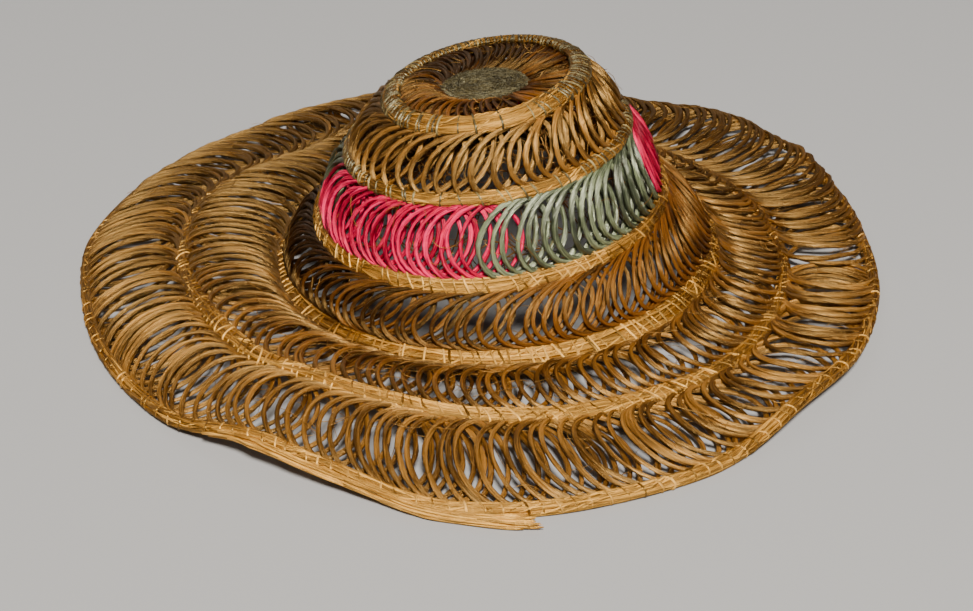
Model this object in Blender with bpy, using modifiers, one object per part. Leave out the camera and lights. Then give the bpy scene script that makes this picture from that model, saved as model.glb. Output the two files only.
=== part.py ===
"""A wide-brimmed straw sun hat of looped cord, worked in rings from a crown disc out to the brim's edge.

Six flat bundles of straw, the coils, lie one outside the other. Between each two runs a row of slanting
loops, built here as a thin wall with a leaf-shaped gap for each group of loops. The fourth row in from the
edge is dyed in pink and green lengths. Metres, +Z up, the front of the hat towards -Y, and the hat at rest
on its brim. Azimuths run anticlockwise from +X, seen from above.
"""

import math
from collections import namedtuple

import bmesh
import bpy
from mathutils import Vector

# Overall sizes
TOP_RADIUS = 0.0525  # middle of the coil round the crown's top
BASE_RADIUS = 0.125  # middle of the coil where the crown meets the brim
BRIM_RADIUS = 0.2255  # middle of the coil along the brim's edge
CROWN_RISE = 0.103  # from the crown's base coil up to its top coil
BRIM_RISE = 0.0075  # from the edge coil, lying on the table, up to the crown's base coil

# The crown has slumped: its rings lie aside of the brim's middle and lean
SLUMP_SHIFT = 0.0072
SLUMP_LEAN = 0.178  # rise over run of the top coil, up towards +X

# The brim's waves
WAVE_OUT = 0.010  # the most that a wave moves a ring outwards
WAVE_LIFT = 0.010  # the most that a wave lifts a ring

# Straw pieces
COIL_WIDTH = 0.010
COIL_THICKNESS = 0.0055
EDGE_THICKNESS = 0.006
LOOP_WALL = 0.0028
LOOP_PUFF = 0.0016  # how far a row of loops swells out between its two coils
CLEARANCE = 0.0005  # between a coil and the loops beside it

# Crown disc
DISC_RADIUS_SIDE = 0.0243
DISC_RADIUS_FRONT = 0.0205
DISC_THICKNESS = 0.0032
DISC_SINK = 0.0035  # how far the disc lies below the crown's top coil
DISC_BEVEL = 0.0008

# Loose end of the edge coil, outside it at the front
END_RADIUS = 0.0036
END_START = 252.0
END_STOP = 276.0
END_POINTS = 14
END_TAPER = 0.30  # share of its thickness where it starts
END_SPLAY = 0.0045  # how far its tip strays outwards

DISC_SIDES = 24
COIL_SIDES = 6
CELL_COLUMNS = 3

# reach: share of the way from TOP_RADIUS to BASE_RADIUS, or past 1 from there to BRIM_RADIUS
# rise: share of CROWN_RISE above the base coil, or below 0 a share of BRIM_RISE under it
# width: share of COIL_WIDTH. shift: share of SLUMP_SHIFT. side, back: shares of SLUMP_LEAN
# out, lift: how much of the brim's waves the ring takes
Coil = namedtuple("Coil", "name reach rise width shift side back out lift sections")
COILS = (
    Coil("crown_top_coil", 0.00, 1.00, 1.25, 0.05, 1.00, -0.05, 0.0, 0.0, 48),
    Coil("crown_wall_coil", 0.35, 0.70, 0.80, 0.20, 0.73, 0.00, 0.0, 0.0, 48),
    Coil("band_coil", 0.63, 0.315, 0.95, 0.45, 0.50, 0.06, 0.0, 0.0, 54),
    Coil("crown_base_coil", 1.00, 0.00, 1.10, 1.00, 0.30, -0.06, 0.0, 0.0, 60),
    Coil("brim_middle_coil", 1.49, -0.40, 1.20, 0.10, -0.12, -0.10, 1.0, 1.0, 72),
    Coil("brim_edge_coil", 2.00, -1.00, 1.00, 0.00, 0.00, 0.00, 1.0, 1.0, 90),
)

# One row for each rise or fall of the brim, as shares of WAVE_OUT and WAVE_LIFT
Wave = namedtuple("Wave", "azimuth edge_out edge_lift middle_out middle_lift")
WAVES = (
    Wave(0, -0.30, 0.00, -0.15, 0.05),
    Wave(18, 0.15, 0.15, -0.15, 0.10),
    Wave(32, 0.50, 0.50, -0.40, 0.05),
    Wave(46, 0.40, 0.45, -0.55, 0.05),
    Wave(62, -0.55, 0.10, -0.40, 0.10),
    Wave(90, -0.65, 0.00, 0.00, 0.20),
    Wave(120, -0.95, 0.10, -0.20, 0.10),
    Wave(135, -0.90, 0.05, -0.60, -0.20),
    Wave(150, -0.35, 0.00, 0.00, -0.10),
    Wave(165, 0.05, 0.00, 0.30, 0.10),
    Wave(180, 0.40, 0.10, 0.15, 0.10),
    Wave(195, 0.15, 0.00, 0.00, 0.30),
    Wave(208, 0.15, 0.00, -0.15, 0.50),
    Wave(225, 0.15, 0.10, -0.10, 0.35),
    Wave(240, -0.60, 0.95, -0.30, 0.60),
    Wave(252, -0.35, 0.50, -0.30, 0.45),
    Wave(266, 0.75, 0.00, -0.05, 0.25),
    Wave(274, 0.85, 0.00, -0.05, 0.15),
    Wave(285, 0.65, 0.00, -0.05, 0.05),
    Wave(300, 0.35, 0.00, 0.00, 0.05),
    Wave(318, -0.45, 0.50, 0.05, -0.10),
    Wave(330, -0.20, 0.45, -0.05, 0.05),
    Wave(345, -0.30, 0.10, -0.05, 0.10),
)

# A row of loops lies inside the coil of the same number. lean and bow: how far its gaps slant and bend
Row = namedtuple("Row", "name coil gaps lean bow")
ROWS = (
    Row("crown_top_loops", 0, 12, 0.35, 0.20),
    Row("crown_wall_loops", 1, 16, 0.30, 0.25),
    Row("crown_base_loops", 3, 20, 0.30, 0.25),
    Row("brim_inner_loops", 4, 24, 0.30, 0.30),
    Row("brim_outer_loops", 5, 30, 0.30, 0.35),
)
BAND_COIL = 2
BAND_LEAN = 0.30
BAND_BOW = 0.30
BAND_JOIN = 0.0010  # gap between two lengths of the band
Band = namedtuple("Band", "name material start stop gaps")
BANDS = (
    Band("band_loops_pink_front", "dyed_pink", 190.0, 273.0, 4),
    Band("band_loops_green_front", "dyed_green", 273.0, 350.0, 4),
    Band("band_loops_pink_back", "dyed_pink", 350.0, 450.0, 4),
    Band("band_loops_green_back", "dyed_green", 450.0, 550.0, 4),
)

# The five lines of points across a row, as shares of its width, and the gap's width at each
CELL_LINES = (0.0, 0.15, 0.5, 0.85, 1.0)
GAP_MIDDLE = 0.64  # where a gap's middle lies in its cell
GAP_HALF_WIDE = 0.35  # half its width in its middle
GAP_HALF_NARROW = 0.17  # half its width near its two ends

COLOURS = {
    "straw": ((0.42, 0.22, 0.075), 0.45),
    "straw_coil": ((0.55, 0.33, 0.13), 0.45),
    "dyed_pink": ((0.80, 0.03, 0.12), 0.50),
    "dyed_green": ((0.24, 0.29, 0.20), 0.55),
    "sage_disc": ((0.30, 0.29, 0.16), 0.65),
}


def start_scene():
    """Empties the scene and returns the collection that holds the hat."""
    for obj in list(bpy.data.objects):
        bpy.data.objects.remove(obj)
    hat = bpy.data.collections.new("looped_straw_hat")
    bpy.context.scene.collection.children.link(hat)
    return hat


def material(name):
    """The Principled material of one kind of straw."""
    made = bpy.data.materials.get(name)
    if made is None:
        colour, roughness = COLOURS[name]
        made = bpy.data.materials.new(name)
        made.use_nodes = True
        shader = made.node_tree.nodes["Principled BSDF"]
        shader.inputs["Base Color"].default_value = (*colour, 1.0)
        shader.inputs["Roughness"].default_value = roughness
        shader.inputs["Metallic"].default_value = 0.0
        made.diffuse_color = (*colour, 1.0)
    return made


def place(obj, collection, material_name):
    """Moves an object to the hat's collection and gives it its material."""
    for other in list(obj.users_collection):
        other.objects.unlink(obj)
    collection.objects.link(obj)
    obj.data.materials.clear()
    obj.data.materials.append(material(material_name))
    return obj


def wave_slope(column, index):
    """Slope of a wave column at one row, level at each crest and trough so that it never overshoots."""
    count = len(WAVES)
    here = WAVES[index]
    after = WAVES[(index + 1) % count]
    before = WAVES[index - 1]
    step_on = (after.azimuth - here.azimuth) % 360
    step_back = (here.azimuth - before.azimuth) % 360
    slope_on = (getattr(after, column) - getattr(here, column)) / step_on
    slope_back = (getattr(here, column) - getattr(before, column)) / step_back
    if slope_on * slope_back <= 0:
        return 0.0
    return 2 * slope_on * slope_back / (slope_on + slope_back)


def wave(column, azimuth):
    """Value of a wave column at an azimuth in degrees, along a smooth closed curve through the rows."""
    azimuth %= 360
    index = max(i for i, row in enumerate(WAVES) if row.azimuth <= azimuth)
    after = (index + 1) % len(WAVES)
    step = (WAVES[after].azimuth - WAVES[index].azimuth) % 360
    t = (azimuth - WAVES[index].azimuth) / step
    first = getattr(WAVES[index], column)
    last = getattr(WAVES[after], column)
    slope_first = wave_slope(column, index) * step
    slope_last = wave_slope(column, after) * step
    return (
        (2 * t**3 - 3 * t**2 + 1) * first
        + (t**3 - 2 * t**2 + t) * slope_first
        + (3 * t**2 - 2 * t**3) * last
        + (t**3 - t**2) * slope_last
    )


def coil_radius(coil):
    if coil.reach <= 1:
        return TOP_RADIUS + coil.reach * (BASE_RADIUS - TOP_RADIUS)
    return BASE_RADIUS + (coil.reach - 1) * (BRIM_RADIUS - BASE_RADIUS)


def coil_height(coil):
    base = EDGE_THICKNESS / 2 + BRIM_RISE
    return base + coil.rise * (CROWN_RISE if coil.rise > 0 else BRIM_RISE)


def coil_centre(index, azimuth):
    """Middle of a coil's bundle at an azimuth in degrees."""
    coil = COILS[index]
    turn = math.radians(azimuth)
    where = "edge" if coil.name == "brim_edge_coil" else "middle"
    radius = coil_radius(coil)
    if coil.out:
        radius += coil.out * WAVE_OUT * wave(where + "_out", azimuth)
    x = radius * math.cos(turn)
    y = radius * math.sin(turn)
    z = coil_height(coil) + SLUMP_LEAN * (coil.side * x + coil.back * y)
    if coil.lift:
        z += coil.lift * WAVE_LIFT * wave(where + "_lift", azimuth)
    return Vector((coil.shift * SLUMP_SHIFT + x, y, z))


def disc_rim(azimuth):
    """Middle of the crown disc's rim at an azimuth in degrees."""
    turn = math.radians(azimuth)
    x = DISC_RADIUS_SIDE * math.cos(turn)
    y = DISC_RADIUS_FRONT * math.sin(turn)
    top = COILS[0]
    z = coil_height(top) - DISC_SINK + SLUMP_LEAN * (top.side * x + top.back * y) / 2
    return Vector((top.shift * SLUMP_SHIFT + x, y, z))


def ring_inside(index, azimuth):
    """The ring that a coil's row of loops starts from: the coil before it, or the disc."""
    return coil_centre(index - 1, azimuth) if index else disc_rim(azimuth)


def coil_frame(index, azimuth):
    """Middle of a coil, and the directions across its width, outwards, and through its thickness, upwards."""
    centre = coil_centre(index, azimuth)
    turn = math.radians(azimuth)
    along = Vector((-math.sin(turn), math.cos(turn), 0.0))
    if index == len(COILS) - 1:
        across = Vector((math.cos(turn), math.sin(turn), 0.0))
    else:
        across = coil_centre(index + 1, azimuth) - ring_inside(index, azimuth)
        across = (across - along * across.dot(along)).normalized()
    return centre, across, across.cross(along).normalized()


def coil_outline(index):
    """Corners of a coil's cross-section as (across, through) pairs, flat on top and underneath."""
    coil = COILS[index]
    last = index == len(COILS) - 1
    half_width = COIL_WIDTH * coil.width / 2
    half_thick = (EDGE_THICKNESS if last else COIL_THICKNESS) / 2
    flat = math.sin(2 * math.pi / COIL_SIDES)
    corners = []
    for side in range(COIL_SIDES):
        turn = 2 * math.pi * side / COIL_SIDES
        corners.append((half_width * math.cos(turn), half_thick * math.sin(turn) / flat))
    return corners


def coil_reach(index, azimuth, direction):
    """How far a coil's bundle reaches from its middle in a direction."""
    _, across, through = coil_frame(index, azimuth)
    return max(a * across.dot(direction) + t * through.dot(direction) for a, t in coil_outline(index))


def row_ends(index, azimuth):
    """Where the loops inside a coil start and stop: clear of the ring within and of the coil itself."""
    start = ring_inside(index, azimuth)
    stop = coil_centre(index, azimuth)
    direction = (stop - start).normalized()
    inner = coil_reach(index - 1, azimuth, direction) if index else 0.0
    outer = coil_reach(index, azimuth, -direction)
    return start + direction * (inner + CLEARANCE), stop - direction * (outer + CLEARANCE)


def row_point(index, azimuth, share):
    """Point on the mid-surface of the loops inside a coil, at a share of the way out, swelling in between."""
    start, stop = row_ends(index, azimuth)
    turn = math.radians(azimuth)
    along = Vector((-math.sin(turn), math.cos(turn), 0.0))
    through = (stop - start).cross(along).normalized()
    return start.lerp(stop, share) + through * LOOP_PUFF * 4 * share * (1 - share)


def make_coil(index, collection):
    """One bundle of straw: a torus bent onto the coil's path and flattened to its cross-section."""
    coil = COILS[index]
    bpy.ops.mesh.primitive_torus_add(
        major_segments=coil.sections,
        minor_segments=COIL_SIDES,
        major_radius=2.0,
        minor_radius=1.0,
    )
    obj = bpy.context.object
    obj.name = coil.name
    outline = coil_outline(index)
    for vertex in obj.data.vertices:
        x, y, z = vertex.co
        azimuth = math.degrees(math.atan2(y, x)) % 360
        side = round(math.atan2(z, math.hypot(x, y) - 2.0) / (2 * math.pi) * COIL_SIDES) % COIL_SIDES
        centre, across, through = coil_frame(index, azimuth)
        a, t = outline[side]
        vertex.co = centre + across * a + through * t
    return place(obj, collection, "straw_coil")


def cell_spot(column, line):
    """Where a grid point lies along the row, in cells, before the row slants: each gap is leaf-shaped."""
    cell, part = divmod(column, CELL_COLUMNS)
    if line in (0, len(CELL_LINES) - 1):
        return cell + part / CELL_COLUMNS
    half = GAP_HALF_WIDE if line == len(CELL_LINES) // 2 else GAP_HALF_NARROW
    return cell + (GAP_MIDDLE + half - 1, GAP_MIDDLE - half, GAP_MIDDLE)[part]


def make_loops(name, index, gaps, slant, collection, colour, start=0.0, stop=360.0):
    """A row of loops inside a coil, or one length of it: a wall with a gap cut through in each cell.

    slant gives the angle by which the row leans and bends at a share of the way across it.
    """
    ring = stop - start == 360.0
    columns = gaps * CELL_COLUMNS
    lines = len(CELL_LINES) - 1
    mesh = bpy.data.meshes.new(name)
    bm = bmesh.new()
    bmesh.ops.create_grid(bm, x_segments=columns, y_segments=lines, size=1.0)
    open_faces = []
    for face in bm.faces:
        middle = face.calc_center_median()
        column = int((middle.x + 1) / 2 * columns)
        line = int((middle.y + 1) / 2 * lines)
        if column % CELL_COLUMNS and 0 < line < lines - 1:
            open_faces.append(face)
    bmesh.ops.delete(bm, geom=open_faces, context="FACES")
    join = 0.0 if ring else math.degrees(BAND_JOIN / 2 / coil_radius(COILS[index - 1]))
    for vertex in bm.verts:
        column = round((vertex.co.x + 1) / 2 * columns)
        line = round((vertex.co.y + 1) / 2 * lines)
        azimuth = start + (stop - start) * cell_spot(column, line) / gaps
        if not ring and column == 0:
            azimuth = start + join
        if not ring and column == columns:
            azimuth = stop - join
        share = CELL_LINES[line]
        vertex.co = row_point(index, azimuth + slant(share), share)
    if ring:
        bmesh.ops.remove_doubles(bm, verts=bm.verts, dist=1e-6)
    bmesh.ops.recalc_face_normals(bm, faces=bm.faces)
    bm.to_mesh(mesh)
    bm.free()
    obj = bpy.data.objects.new(name, mesh)
    wall = obj.modifiers.new("wall", "SOLIDIFY")
    wall.thickness = LOOP_WALL
    wall.offset = 0.0
    return place(obj, collection, colour)


def slant_of(gaps, lean, bow):
    """The angle by which a row of that many gaps leans and bends, at a share of the way across it."""
    return lambda share: 360 / gaps * (lean * (0.5 - share) - bow * 4 * share * (1 - share))


def make_disc(collection):
    """The crown's middle: a flat, slightly sunk disc, wider from side to side."""
    bpy.ops.mesh.primitive_cylinder_add(vertices=DISC_SIDES, radius=1.0, depth=DISC_THICKNESS)
    obj = bpy.context.object
    obj.name = "crown_disc"
    obj.scale = (DISC_RADIUS_SIDE, DISC_RADIUS_FRONT, 1.0)
    bpy.ops.object.transform_apply(location=False, rotation=False, scale=True)
    rims = [disc_rim(90 * quarter) for quarter in range(4)]
    side = (rims[0] - rims[2]).normalized()
    back = (rims[1] - rims[3]).normalized()
    obj.rotation_euler = (math.asin(back.z), -math.asin(side.z), 0.0)
    obj.location = sum(rims, Vector()) / len(rims)
    edge = obj.modifiers.new("soft_rim", "BEVEL")
    edge.width = DISC_BEVEL
    edge.segments = 1
    edge.limit_method = "ANGLE"
    return place(obj, collection, "sage_disc")


def make_coil_end(collection):
    """The edge coil's loose end: a tapering bundle laid along the coil's outside at the front."""
    curve = bpy.data.curves.new("brim_edge_coil_end", "CURVE")
    curve.dimensions = "3D"
    curve.bevel_depth = END_RADIUS
    curve.bevel_resolution = 2
    curve.use_fill_caps = True
    spline = curve.splines.new("POLY")
    spline.points.add(END_POINTS - 1)
    edge = len(COILS) - 1
    for number, point in enumerate(spline.points):
        share = number / (END_POINTS - 1)
        azimuth = END_START + share * (END_STOP - END_START)
        thickness = END_TAPER + (1 - END_TAPER) * math.sin(share * math.pi / 2)
        centre, across, through = coil_frame(edge, azimuth)
        aside = coil_reach(edge, azimuth, across) + CLEARANCE + END_RADIUS * thickness + END_SPLAY * share**3
        drop = EDGE_THICKNESS / 2 - END_RADIUS * thickness
        point.co = (*(centre + across * aside - through * drop), 1.0)
        point.radius = thickness
    return place(bpy.data.objects.new(curve.name, curve), collection, "straw_coil")


def centre_over_origin(objects):
    """Moves the hat so that its middle, seen from above, and its lowest point are at the origin."""
    bpy.context.view_layer.update()
    graph = bpy.context.evaluated_depsgraph_get()
    corners = []
    for obj in objects:
        seen = obj.evaluated_get(graph)
        mesh = seen.to_mesh()
        corners += [seen.matrix_world @ vertex.co for vertex in mesh.vertices]
        seen.to_mesh_clear()
    low = Vector([min(corner[axis] for corner in corners) for axis in range(3)])
    high = Vector([max(corner[axis] for corner in corners) for axis in range(3)])
    middle = (low + high) / 2
    for obj in objects:
        obj.location -= Vector((middle.x, middle.y, low.z))


def shade(obj):
    """Shades the straw smooth but keeps the disc's and the walls' edges crisp."""
    if obj.type == "MESH":
        obj.data.shade_smooth()
        obj.data.set_sharp_from_angle(angle=math.radians(50))


def main():
    hat = start_scene()
    objects = [make_disc(hat)]
    for index in range(len(COILS)):
        objects.append(make_coil(index, hat))
    for row in ROWS:
        slant = slant_of(row.gaps, row.lean, row.bow)
        objects.append(make_loops(row.name, row.coil, row.gaps, slant, hat, "straw"))
    slant = slant_of(sum(band.gaps for band in BANDS), BAND_LEAN, BAND_BOW)
    for name, colour, start, stop, gaps in BANDS:
        objects.append(make_loops(name, BAND_COIL, gaps, slant, hat, colour, start, stop))
    objects.append(make_coil_end(hat))
    for obj in objects:
        shade(obj)
    centre_over_origin(objects)


main()
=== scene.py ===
"""The looped straw hat: twisted cord loops, stitched fibre coils, a felted disc and loose fibres."""

import math
from collections import namedtuple

import bpy
import numpy as np
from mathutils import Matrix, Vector


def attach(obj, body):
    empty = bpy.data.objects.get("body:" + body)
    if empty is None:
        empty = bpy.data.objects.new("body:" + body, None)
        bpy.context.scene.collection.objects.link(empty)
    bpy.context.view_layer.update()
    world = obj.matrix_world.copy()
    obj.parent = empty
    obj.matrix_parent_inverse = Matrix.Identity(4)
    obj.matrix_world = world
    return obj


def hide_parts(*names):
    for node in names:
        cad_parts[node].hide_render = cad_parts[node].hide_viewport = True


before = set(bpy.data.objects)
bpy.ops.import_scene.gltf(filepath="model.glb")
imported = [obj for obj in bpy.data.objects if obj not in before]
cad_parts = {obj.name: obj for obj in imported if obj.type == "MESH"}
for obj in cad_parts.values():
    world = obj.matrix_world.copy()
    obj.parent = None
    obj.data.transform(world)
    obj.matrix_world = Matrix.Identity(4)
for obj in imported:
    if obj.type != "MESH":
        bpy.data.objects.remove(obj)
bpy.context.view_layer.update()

TURN = 2 * math.pi
MM = 0.001
PER_CM = 100  # the strand UV map is laid out in centimetres

# The camera, fitted to the photograph
HAT_MIDDLE = Vector((0.0047, 0.0129, -0.034))
CAMERA_DISTANCE = 1.0
CAMERA_ELEVATION = 32.7
LENS_MM = 61.6
SENSOR_MM = 36

# Floor and light
FLOOR_SIZE = 30
FLOOR_COLOUR = (0.31, 0.31, 0.315)
FLOOR_ROUGHNESS = 0.9
SKY_STRENGTH = 0.16
Lamp = namedtuple("Lamp", "name place target size power colour")
LAMPS = (
    Lamp("key", (0.34, -2.22, 3.38), (0, -0.05, 0.03), 1.0, 385, (1.0, 0.95, 0.87)),
    Lamp("back", (-0.9, 2.3, 2.0), (0, 0, 0.03), 1.6, 13, (1.0, 0.98, 0.95)),
)

# Shares of the hat by azimuth
FRONT_AT_SIDES = 0.5
FRONT_RISE = 0.75
LIT_POWER = 1.5  # how fast the light falls off from the front to the sides
COVER_AT_BACK = 1.25
COVER_FALL = 1.4
SKIP_RISE = 1.6  # how fast the share of stitches left out rises towards the front
SKIP_START = 0.6

# Paths of the loops
LOOP_STEP = 3.9 * MM  # between the points of a cord
LOOP_HEIGHT = 1.1  # taken for a loop's length, as a share of the way between its two rings
TUCK = 1.6 * MM  # how far the loops' ends run under a coil
PUFF = 2.2 * MM  # how far a row bulges between its coils
OVER_COIL = 2.6 * MM  # how high the ends lie where they cover a coil
OVER_COIL_POWER = 6
COVER_STOP = 0.3  # how far from a covered coil's middle the loops stop, as a share of its half width
EDGE_STOP = 1.0 * MM  # how far from the hat's edge they stop where they cover the edge coil
DISC_OVERLAP = 1.0 * MM  # how far the first row runs in over the disc
BACK_CROWDING = 0.10  # how much closer together the loops lie at the back, as a share of their spacing

# How uneven the loops of a row are
UNEVEN_ENDS = 0.03
UNEVEN_WIDTH = 0.07
UNEVEN_LEAN = 1.8  # in mm
UNEVEN_DEPTH = 0.28
UNEVEN_LEVEL = 0.20  # in mm
UNEVEN_RADIUS = 0.09
UNEVEN_TINT = 0.09
BUNCH = 3  # loops that bunch together
BUNCHING = 2.0  # how far they do, as a multiple of their row's scatter
TANGLE_PLACE = math.radians(342)  # where the outermost loops lie in the most disorder
TANGLE_SPAN = math.radians(24)
TANGLE = 1.6  # how much more than elsewhere

# Cord
PLIES = 3
PLY_SIDES = 4
PLY_RADIUS = 0.72  # as a share of the cord's radius
PLY_OFFSET = 0.38  # from the cord's middle, as a share of its radius
PLY_STEPS = 9  # points between two knots of a ply's wander
PLY_WANDER = 0.30  # in radians
PLY_LOOSENESS = 0.16  # as a share of the offset
PLY_SWELL = 0.07  # as a share of the ply's radius
PLY_TINT = 0.08
TWIST_LENGTH = 75 * MM

# Coils of fibre
CORNERS = 6  # of a coil's cross-section in the CAD
SECTION_POWER = 2.4  # of the superellipse that a coil's cross-section is
COIL_THICKEST = 1.15  # as a share of its half width
COIL_STEP = 5.0 * MM
CORE_SIDES = 8
CORE_RADIUS = 0.94  # as a share of half the coil's thickness
CORE_REACH = 0.92  # how far the outer cores reach, as a share of the coil's half width
CORE_TINT = -0.05
COIL_FIBRES = 10
COIL_FIBRE_SIDES = 4
COIL_FIBRE_STEPS = 8  # sections between two knots of a fibre's wander
COIL_FIBRE_WANDER = 0.30  # in radians
COIL_FIBRE_SNUG = 0.93
COIL_FIBRE_DEPTH = 0.05
COIL_FIBRE_RADIUS = (0.6, 0.95)  # in mm
COIL_FIBRE_SWELL = 0.18
COIL_FIBRE_FLAT = 0.8
COIL_FIBRE_TINT = 0.04  # from fibre to fibre
COIL_FIBRE_PATCHES = 0.05  # along a fibre

# Short bits of fibre lying on the coils
BIT_EVERY = 1.4 * MM  # of the length of a coil
BIT_STEPS = 5
BIT_SIDES = 3
BIT_LENGTH = (5, 22)  # in mm
BIT_TWIST = (70, 60)  # mean and spread, in radians for each metre of its length
BIT_SNUG = 1.04
BIT_BEND = (-0.1, 0.5)  # how far its ends sink into the coil or, below 0, stand off it
BIT_RADIUS = (0.35, 0.95)  # in mm
BIT_TAPER = 2.4  # how fast it thins towards its ends
BIT_FLAT = 0.6
BIT_TINT = 0.13

# Stitches round the coils
STITCH_STEPS = 12
STITCH_SIDES = 5
STITCH_SCATTER = 0.18  # as a share of their spacing
STITCH_SLANTS = 0.35
STITCH_SWING = 0.3
STITCH_SNUG = 1.01
STITCH_LOOSENESS = 0.05
STITCH_DIP = 0.05
STITCH_RADIUS = (0.7, 1.2)
STITCH_TINT = 0.17

# Strands are lighter where more light falls: their tint is gain times the share of light past level
Lit = namedtuple("Lit", "gain level")
LOOPS_LIT = Lit(0.26, 0.85)
CORES_LIT = Lit(0.26, 0.80)
BITS_LIT = Lit(0.26, 0.70)
STITCHES_LIT = Lit(0.18, 0.90)

# Felted disc, with faint rings
DISC_RINGS = 25
DISC_COLUMNS = 96
DISC_MIDDLE = 1.2 * MM
DISC_LEVEL = 1.6 * MM
DISC_WAVES = 7
DISC_WAVE = 0.24 * MM
DISC_ROUGH = 0.22 * MM
DISC_SHOULDER = 0.86  # where it starts to drop to its rim, as a share of the way out
DISC_DROP = 3.4 * MM
DISC_UNDER = 1.8 * MM
DISC_UNDER_SHARE = 0.97
DISC_MIDDLE_TINT = 0.1
DISC_WAVE_TINT = 0.06
DISC_SPOTS = 0.05
DISC_UNDER_TINT = -0.1

# Fibres lying on the disc
DISC_STRAND_STEPS = 6
DISC_FIBRES = 640
DISC_FIBRE_SIDES = 4
DISC_FIBRE_REACH = 0.97  # as a share of the way out
DISC_FIBRE_LEVEL = 1.9 * MM
DISC_FIBRE_LENGTH = (4, 10)  # in mm
DISC_FIBRE_RADIUS = (0.14, 0.28)  # in mm
DISC_FIBRE_TURNS = 0.4  # off the way round the disc, in radians
DISC_FIBRE_BENDS = 0.6
DISC_FIBRE_ARCH = 0.3 * MM
DISC_FIBRE_TINT = (0.02, 0.09)  # mean and spread

# Stitches over the disc's rim
DISC_STITCHES = 90
DISC_STITCH_SIDES = 5
DISC_STITCH_RADIUS = 0.45 * MM
DISC_STITCH_SCATTER = 0.2  # as a share of their spacing
DISC_STITCH_TILT = 0.07  # in radians round the disc
DISC_STITCH_START = 1.06  # as a share of the way out
DISC_STITCH_LENGTH = 0.22
DISC_STITCH_LIFT = 0.4 * MM
DISC_STITCH_ARCH = 1.7 * MM
DISC_STITCH_SWEEP = 0.9 * math.pi  # of the arch
DISC_STITCH_TINT = 0.1

# The edge coil's loose end, with azimuths in degrees
END_FIBRES = 90
END_STEPS = 30
END_SIDES = 5
END_BEGINS = (232, 264)
END_STOPS = (271.5, 276.5)
END_FAN_START = 262
END_FAN_SPAN = 15
END_FAN_POWER = 1.6
END_GAP = 0.4 * MM
END_WIDTH = 3.0 * MM
END_FAN_WIDTH = 8.5 * MM
END_INSIDE = 0.75  # how far out its fibres start, as a share of how far out they run
END_LEAVING = 6  # how fast they get there
END_LEVELS = (-2.2, 2.0)  # in mm
END_FLATTENING = 0.4
END_SAG = 0.4 * MM
END_WANDER = 0.4 * MM
END_KNOTS = 6
END_RADIUS = (0.4, 0.8)  # in mm
END_TAPER = 14
END_TIP = 0.35  # as a share of a fibre's radius
END_LOWEST = 0.8 * MM
END_TINT = (0.10, 0.08)  # mean and spread

# Loose fibres
STRAY_STEPS = 8
STRAY_SIDES = 3
STRAY_SHARES = (0.08, 0.92)
STRAY_LEAST_SPAN = 30 * MM
STRAY_HEADING = (0.5, 0.9)  # mean and spread, in radians off the way round the hat
STRAY_BENDS = 0.8
STRAY_TILTS = 1.2  # in mm
STRAY_ARCHES = 4  # in mm
STRAY_LOWEST = 0.6 * MM
STRAY_KINKS = 0.15 * MM
STRAY_THINNEST = 0.10  # in mm
STRAY_TINT = (0.05, 0.1)  # mean and spread

# Straw's look. Its fibres and grain are noise on the strand UV map
STRAW_ROUGHNESS = 0.36
GLOSSIER = 0.08  # how much glossier than that the grain makes it at most
DULLER = 0.14
STRAW_IOR = 2.0
ANISOTROPY = 0.9
ACROSS_FIBRES = 0.25  # a quarter turn
FIBRES_PER_CM = 24.0
FIBRE_CHANGES_PER_CM = 0.7
GRAINS_PER_CM = 5.0
GRAIN_SLANT = 0.35
GRAIN_RANGE = (0.35, 0.65)
PATCHES_PER_M = 55.0
PATCH_WEIGHT = 0.25
FIBRE_WEIGHT = 1.2
DARK_AT, MIDDLE_AT, LIGHT_AT = 0.575, 0.725, 0.93
FIBRE_RELIEF = 0.5 * MM
FIBRE_RELIEF_STRENGTH = 0.7
GRAIN_RELIEF_STRENGTH = 0.6

GOLD_SHINE = (1.0, 0.60, 0.19)
PINK_SHINE = (1.0, 0.25, 0.36)
COIL_SHINE = (1.0, 0.60, 0.16)
SAGE_SHINE = (0.95, 1.0, 0.76)
FELT_SHINE = (0.90, 0.85, 0.55)

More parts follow.
